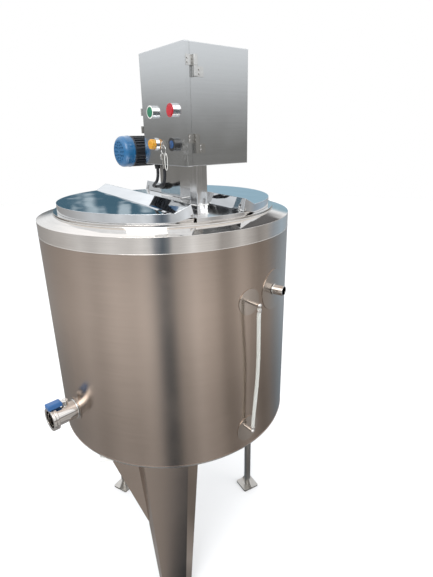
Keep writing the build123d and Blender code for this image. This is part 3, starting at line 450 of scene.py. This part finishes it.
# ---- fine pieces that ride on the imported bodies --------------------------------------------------
def add_mesh(name, points, faces, slot, body, sharp=40):
    mesh = bpy.data.meshes.new(name)
    mesh.from_pydata([tuple(point) for point in points], [], faces)
    piece = bpy.data.objects.new(name, mesh)
    bpy.context.scene.collection.objects.link(piece)
    mesh.materials.append(MATERIALS[slot])
    for polygon in mesh.polygons:
        polygon.use_smooth = True
    mesh.set_sharp_from_angle(angle=math.radians(sharp))
    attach(piece, body)
    return piece


def tube_along(name, path, radius, slot, body, closed=False, ripple=0.0, sides=10):
    """A tube along points; ripple swells every other ring, as the scales of a weld bead do."""
    points, faces = [], []
    count = len(path)
    side = None
    for index, centre in enumerate(path):
        before = path[index - 1] if closed or index else path[0]
        after = path[(index + 1) % count] if closed or index < count - 1 else path[-1]
        along = (after - before).normalized()
        if side is None:
            side = along.orthogonal().normalized()
        side = (side - along * side.dot(along)).normalized()
        across = along.cross(side)
        swell = radius * (1 + ripple * (index % 2))
        for turn in range(sides):
            angle = 2 * math.pi * turn / sides
            points.append(centre + side * swell * math.cos(angle) + across * swell * math.sin(angle))
    for index in range(count if closed else count - 1):
        low, high = index * sides, (index + 1) % count * sides
        for turn in range(sides):
            turn_next = (turn + 1) % sides
            faces.append((low + turn, low + turn_next, high + turn_next, high + turn))
    if not closed:
        faces.append(tuple(reversed(range(sides))))
        faces.append(tuple(range((count - 1) * sides, count * sides)))
    return add_mesh(name, points, faces, slot, body)


def lathe(name, outline, centre, axis, slot, body, steps=64):
    """A closed ring turned about an axis from (along, radius) points."""
    axis = Vector(axis).normalized()
    side = axis.orthogonal().normalized()
    across = axis.cross(side)
    points, faces = [], []
    count = len(outline)
    for step in range(steps):
        angle = 2 * math.pi * step / steps
        out = side * math.cos(angle) + across * math.sin(angle)
        points += [Vector(centre) + axis * along + out * radius for along, radius in outline]
    for step in range(steps):
        low, high = step * count, (step + 1) % steps * count
        for index in range(count):
            index_next = (index + 1) % count
            faces.append((low + index, low + index_next, high + index_next, high + index))
    return add_mesh(name, points, faces, slot, body)


def straight(start, end, spacing):
    """Points from one end to the other."""
    start, end = Vector(start), Vector(end)
    count = max(2, round((end - start).length / spacing))
    return [start.lerp(end, index / count) for index in range(count + 1)]


def level_ring(radius, height, spacing):
    """Points on a level circle about the vat's axis; an even count, so that ripples alternate."""
    count = 2 * round(math.pi * radius / spacing)
    angles = [2 * math.pi * index / count for index in range(count)]
    return [Vector((radius * math.cos(angle), radius * math.sin(angle), height)) for angle in angles]


def around(angle, radius, height):
    """A point round the vat: degrees from -Y towards +X, distance from the axis, height."""
    turn = math.radians(angle)
    return Vector((radius * math.sin(turn), -radius * math.cos(turn), height))


WELD = 0.0016                 # radius of a weld bead
FINE_WELD = 0.0012            # radius of a bead on the pipe fittings
SCALES = 0.0022               # spacing of the ripples


def weld(name, path, closed=False, radius=WELD):
    return tube_along(name, path, radius, "small_steel", "vat", closed, ripple=0.18, sides=8)


def circle_at(centre, axis, radius, spacing):
    """Points on a circle square to an axis, as in level_ring."""
    axis = Vector(axis).normalized()
    side = axis.orthogonal().normalized()
    across = axis.cross(side)
    count = 2 * round(math.pi * radius / spacing)
    angles = [2 * math.pi * index / count for index in range(count)]
    return [Vector(centre) + side * radius * math.cos(angle) + across * radius * math.sin(angle)
            for angle in angles]


CLADDING_WELD_ANGLE = 120.0   # at the back, between the legs


def make_vat_seams():
    """The shoulder's and the pan's lapped seams, the cladding's upright weld and the collar's bead."""
    seam = [(-0.0011, VAT_RADIUS - 0.0006), (-0.0007, VAT_RADIUS + 0.0005), (0.0007, VAT_RADIUS + 0.0005),
            (0.0011, VAT_RADIUS - 0.0006)]
    lathe("shoulder_seam", seam, (0, 0, SEAM_Z), (0, 0, 1), "polished_steel", "vat", steps=180)
    lathe("pan_seam", seam, (0, 0, CLADDING_LOW.z), (0, 0, 1), "satin_steel", "vat", steps=180)
    low = around(CLADDING_WELD_ANGLE, VAT_RADIUS, CLADDING_LOW.z)
    high = around(CLADDING_WELD_ANGLE, VAT_RADIUS, SEAM_Z)
    weld("cladding_weld", straight(low, high, SCALES), radius=0.0009)
    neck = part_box("neck_collar")[1].y
    collar = level_ring(neck + 0.0004, SHOULDER_HIGH.z + 0.0002, SCALES)
    weld("collar_weld", collar, closed=True, radius=0.0010)


# The legs: where they stand round the vat and how far out.
FRONT_LEG_ANGLE = -39.0
FRONT_LEG_BACK = 0.272        # the open side of the folded channel
FRONT_LEG_FACE = 0.3005       # just outside its face
FRONT_LEG_HEAD = (0.063, 0.090)   # half width at the face and at the open side, under the pan
FRONT_LEG_FOOT = (0.034, 0.049)   # the same on the foot plate
REAR_LEG_ANGLES = (81.0, 201.0)
REAR_LEG_STATION = 0.296
REAR_LEG_BEAD = 0.0128        # just outside the tube
PAN_DEPTH = 0.010             # the pan below the cladding
BEAD_GAP = 0.0005             # between a surface and the middle of its bead


def make_leg_welds():
    """Beads where the legs meet the pan and the foot plates."""
    under = CLADDING_LOW.z - PAN_DEPTH - BEAD_GAP
    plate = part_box("foot_plates")[1].z + BEAD_GAP

    def on_leg(across, out, height):
        return Matrix.Rotation(math.radians(FRONT_LEG_ANGLE), 4, "Z") @ Vector((across, -out, height))

    for name, (front, back), height in (("leg_head_weld", FRONT_LEG_HEAD, under),
                                        ("leg_foot_weld", FRONT_LEG_FOOT, plate)):
        corners = [on_leg(-back, FRONT_LEG_BACK, height), on_leg(-front, FRONT_LEG_FACE, height),
                   on_leg(front, FRONT_LEG_FACE, height), on_leg(back, FRONT_LEG_BACK, height)]
        path = []
        for start, end in zip(corners, corners[1:]):
            path += straight(start, end, SCALES)[:-1]
        weld(name, path)
    for number, angle in enumerate(REAR_LEG_ANGLES):
        for place, height in (("head", under), ("foot", plate)):
            centre = around(angle, REAR_LEG_STATION, height)
            ring = circle_at(centre, (0, 0, 1), REAR_LEG_BEAD, SCALES)
            weld(f"rear_leg_{place}_weld_{number}", ring, closed=True)


# The gearbox stool's foot on the bridge.
STOOL_LOW = Vector((0.014, -0.060, 0))
STOOL_HIGH = Vector((0.048, 0.042, 0))


def make_bridge_welds():
    """Beads round the feet of the control post and the gearbox's stool."""
    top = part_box("bridge")[1].z + 0.0004
    for name, node in (("post_weld", "control_post"), ("stool_weld", "gearbox_stool")):
        low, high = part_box(node)
        if node == "gearbox_stool":
            low, high = STOOL_LOW, STOOL_HIGH
        corners = [Vector((low.x, low.y, top)), Vector((high.x, low.y, top)), Vector((high.x, high.y, top)),
                   Vector((low.x, high.y, top))]
        path = []
        for start, end in zip(corners, corners[1:] + corners[:1]):
            path += straight(start, end, SCALES)[:-1]
        weld(name, path, closed=True)


# The pipe fittings: angle round the vat, the beads' distances from its axis and their radius.
OUTLET_ANGLE = -84.6
FERRULE_BEAD_AT = 0.4062
OUTLET_BEAD_AT = 0.3522
OUTLET_BEAD = 0.0262          # just outside the outlet's pipe
INLET_ANGLE = 18.0
INLET_BEAD_AT = 0.3532
INLET_BEAD = 0.0134           # just outside the inlet's pipe


def make_fitting_welds():
    """Beads where the outlet meets the vat and its ferrule, and round the water inlet."""
    for name, node, angle, station, radius in (
            ("ferrule_weld", "outlet_ferrule", OUTLET_ANGLE, FERRULE_BEAD_AT, OUTLET_BEAD),
            ("outlet_weld", "outlet_ferrule", OUTLET_ANGLE, OUTLET_BEAD_AT, OUTLET_BEAD),
            ("inlet_weld", "water_inlet", INLET_ANGLE, INLET_BEAD_AT, INLET_BEAD)):
        low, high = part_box(node)
        centre = around(angle, station, (low.z + high.z) / 2)
        ring = circle_at(centre, around(angle, 1, 0), radius, SCALES)
        weld(name, ring, closed=True, radius=FINE_WELD)


def make_button_rings():
    """A pale ring round the start button and a red one on the stop button's bezel."""
    for button, slot in (("start_button", "white_plastic"), ("stop_button", "red_plastic")):
        low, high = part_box(button)
        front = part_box("button_bodies")[0].x
        centre = Vector((front, (low.y + high.y) / 2, (low.z + high.z) / 2))
        outline = [(0.0002, 0.0123), (-0.0008, 0.0126), (-0.0010, 0.0138), (-0.0005, 0.0148),
                   (0.0002, 0.0149)]
        lathe(button + "_ring", outline, centre, (1, 0, 0), slot, "door")


def make_key_tie():
    """A loop of white tie through the key ring, hanging below the spare key."""
    low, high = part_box("key_ring")
    x, y = (low.x + high.x) / 2, low.y + 0.0007
    top = high.z - 0.018
    path = []
    for step in range(40):
        angle = 2 * math.pi * step / 40
        drop = 0.019 * (1 - math.cos(angle))
        sway = 0.0045 * math.sin(angle) * (0.4 + 0.6 * math.sin(angle / 2))
        path.append(Vector((x + sway, y - 0.0012 * math.sin(2 * angle), top - drop)))
    tube_along("key_tie", path, 0.0007, "white_plastic", "key_ring", closed=True)


def make_cowl_rim():
    """The rolled edge where the blue fan cowl slips over the motor."""
    low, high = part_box("fan_cowl")
    centre = Vector((high.x, (low.y + high.y) / 2, (low.z + high.z) / 2))
    radius = (high.y - low.y) / 2
    outline = [(-0.0045, radius - 0.0002), (-0.0040, radius + 0.0007), (-0.0010, radius + 0.0008),
               (0.0, radius + 0.0002), (0.0, radius - 0.0006)]
    lathe("cowl_rim", outline, centre, (1, 0, 0), "cowl_blue", "vat")


def make_details():
    make_vat_seams()
    make_leg_welds()
    make_bridge_welds()
    make_fitting_welds()
    make_button_rings()
    make_key_tie()
    make_cowl_rim()


dress_nodes()
make_details()
make_stage()
